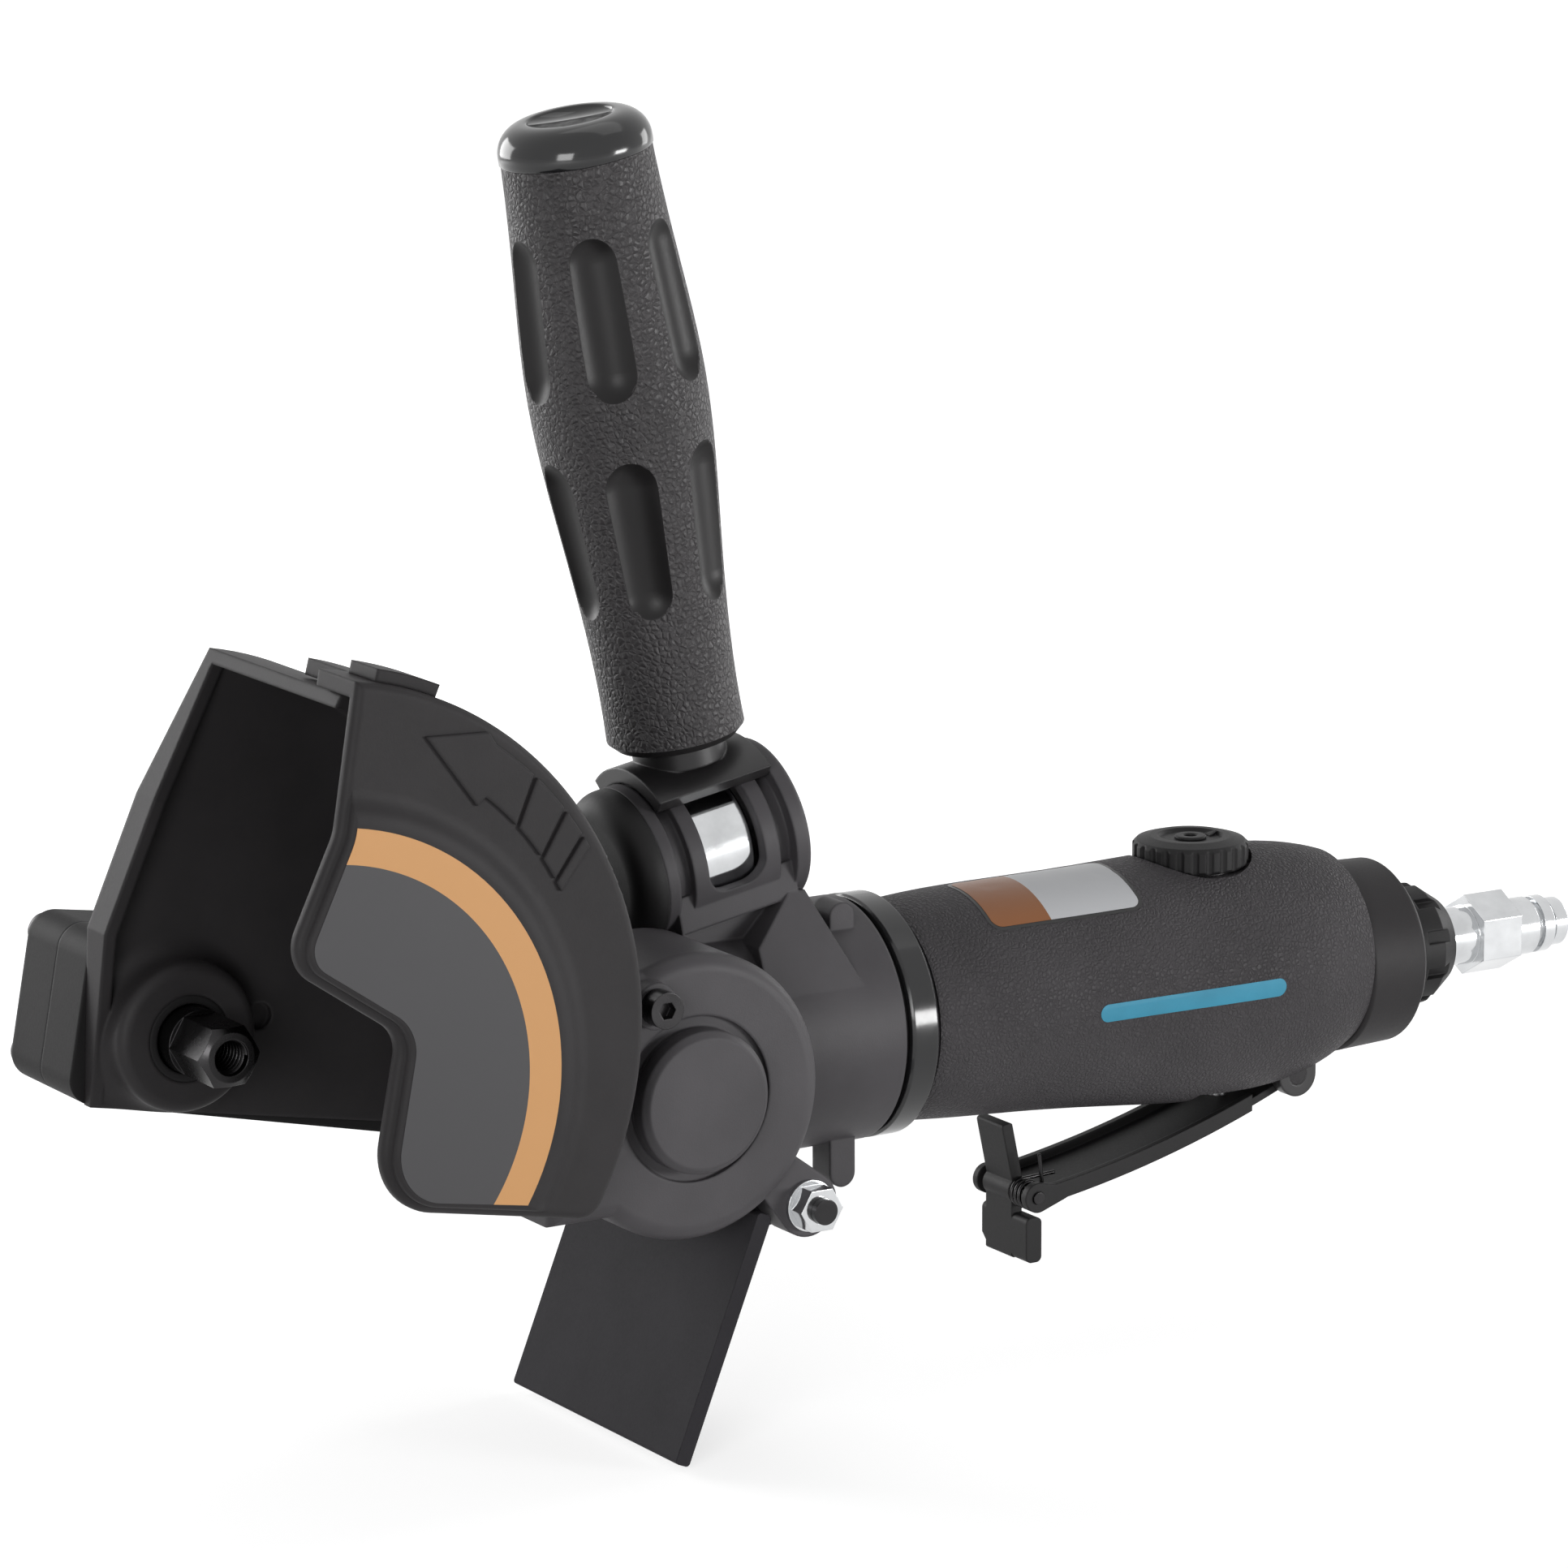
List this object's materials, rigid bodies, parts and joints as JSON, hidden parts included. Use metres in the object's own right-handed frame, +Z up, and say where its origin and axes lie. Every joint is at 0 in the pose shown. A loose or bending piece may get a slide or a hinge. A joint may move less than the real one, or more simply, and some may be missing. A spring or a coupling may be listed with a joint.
{
  "type": "multi sander",
  "caption": "Air-powered multi sander with a belt-driven spindle in a half-open wheel guard, right-angle gear case, throttle-lever grip, swivelling side handle and debris flap.",
  "frame": {"origin": "mouth of the threaded hole in the hex adaptor, on the spindle axis", "axes": "-Y along the spindle out of the thread, +X along the motor axis to the air inlet, +Z up"},
  "size_m": [0.3382, 0.0895, 0.2537],
  "materials": {
    "dark_casting": "fine sand texture, satin",
    "guard_plastic": "matte",
    "arm_plastic": "matte",
    "sleeve_rubber": "leather grain",
    "grip_plastic": "wrinkled grain",
    "gloss_black": "gloss",
    "control_plastic": "semi-gloss",
    "flap_rubber": "matte",
    "chrome": "polished",
    "steel": "ground",
    "black_oxide": "black oxide",
    "alloy": "machined",
    "belt_rubber": "toothless flat belt",
    "vane_resin": "resin laminate"
  },
  "bodies": {
    "body": {"gear_case": "dark_casting", "gear_case_cap": "dark_casting", "guard_screw": "black_oxide", "case_screws": "steel", "arm_housing": "arm_plastic", "arm_cover": "arm_plastic", "arm_screws": "black_oxide", "spindle_bearings": "steel", "gear_bearings": "steel", "drive_belt": "belt_rubber", "guard_shell": "guard_plastic", "neck_ring": "gloss_black", "motor_housing": "alloy", "grip_sleeve": "sleeve_rubber", "motor_cylinder": "steel", "front_end_plate": "alloy", "rear_end_plate": "alloy", "rotor_bearings": "steel", "exhaust_ring": "control_plastic", "inlet_bushing": "black_oxide", "air_nipple": "chrome", "regulator_collar": "black_oxide", "lever_pin": "steel", "valve_bushing": "alloy", "valve_spring": "steel", "drum_end_cap": "control_plastic", "flap_bolt": "chrome", "flap_washer": "chrome", "flap_nut": "chrome"},
    "rotor_set": {"rotor": "steel", "vanes": "vane_resin", "bevel_pinion": "steel"},
    "gear_set": {"gear_shaft": "steel", "bevel_gear": "steel", "drive_pulley": "alloy"},
    "spindle_set": {"spindle": "steel", "hex_adaptor": "black_oxide", "driven_pulley": "alloy"},
    "guard_front": {"guard_cover": "guard_plastic", "guard_latch": "guard_plastic"},
    "flap": {"debris_flap": "flap_rubber"},
    "side_handle": {"handle_stud": "steel", "barrel_nut": "chrome", "handle_saddle": "dark_casting", "handle_grip": "grip_plastic", "handle_end_cap": "gloss_black"},
    "regulator": {"regulator_knob": "control_plastic", "regulator_stem": "steel"},
    "lever": {"throttle_lever": "control_plastic", "catch_pin": "steel"},
    "catch": {"safety_catch": "control_plastic", "catch_spring": "steel"},
    "valve": {"valve_pin": "steel"}
  },
  "joints": [
    {"name": "rotor_spin", "type": "hinge", "parent": "body", "child": "rotor_set", "pos_m": [0.0878, 0.0215, -0.01627], "axis": [1, 0, 0], "continuous": true},
    {"name": "gear_spin", "type": "hinge", "parent": "body", "child": "gear_set", "pos_m": [0.0878, 0, -0.01627], "axis": [0, -1, 0], "continuous": true},
    {"name": "spindle_spin", "type": "hinge", "parent": "body", "child": "spindle_set", "pos_m": [0, 0, 0], "axis": [0, -1, 0], "continuous": true},
    {"name": "guard_pull", "type": "slide", "parent": "body", "child": "guard_front", "axis": [0, -1, 0], "range_m": [0, 0.06]},
    {"name": "flap_swing", "type": "hinge", "parent": "body", "child": "flap", "pos_m": [0.1141, 0, -0.04127], "axis": [0, -1, 0], "range_deg": [0, 45]},
    {"name": "handle_swing", "type": "hinge", "parent": "body", "child": "side_handle", "pos_m": [0.1111, 0.0215, 0.02253], "axis": [0.9836, 0, 0.1805], "range_deg": [-50, 50]},
    {"name": "regulator_turn", "type": "hinge", "parent": "body", "child": "regulator", "pos_m": [0.22651, 0.0215, -0.01627], "axis": [0, 0, 1], "range_deg": [-60, 60]},
    {"name": "lever_press", "type": "hinge", "parent": "body", "child": "lever", "pos_m": [0.24551, 0.0215, -0.03977], "axis": [0, 1, 0], "range_deg": [0, 4.4], "stiffness_Nm_per_rad": 4, "springref_deg": -22.92},
    {"name": "valve_lift", "type": "slide", "parent": "body", "child": "valve", "axis": [0, 0, 1], "range_m": [0, 0.00095], "deforming": ["valve_spring"]},
    {"name": "catch_fold", "type": "hinge", "parent": "lever", "child": "catch", "pos_m": [0.18401, 0.0215, -0.05667], "axis": [0, 1, 0], "range_deg": [0, 72], "deforming": ["catch_spring"]}
  ],
  "couplings": [
    {"joint": "gear_spin", "follows": "rotor_spin", "ratio": -0.5},
    {"joint": "spindle_spin", "follows": "rotor_spin", "ratio": -0.5},
    {"joint": "valve_lift", "follows": "lever_press", "m_per_rad": 0.012},
    {"joint": "catch_fold", "follows": "lever_press", "ratio": 16.3}
  ]
}
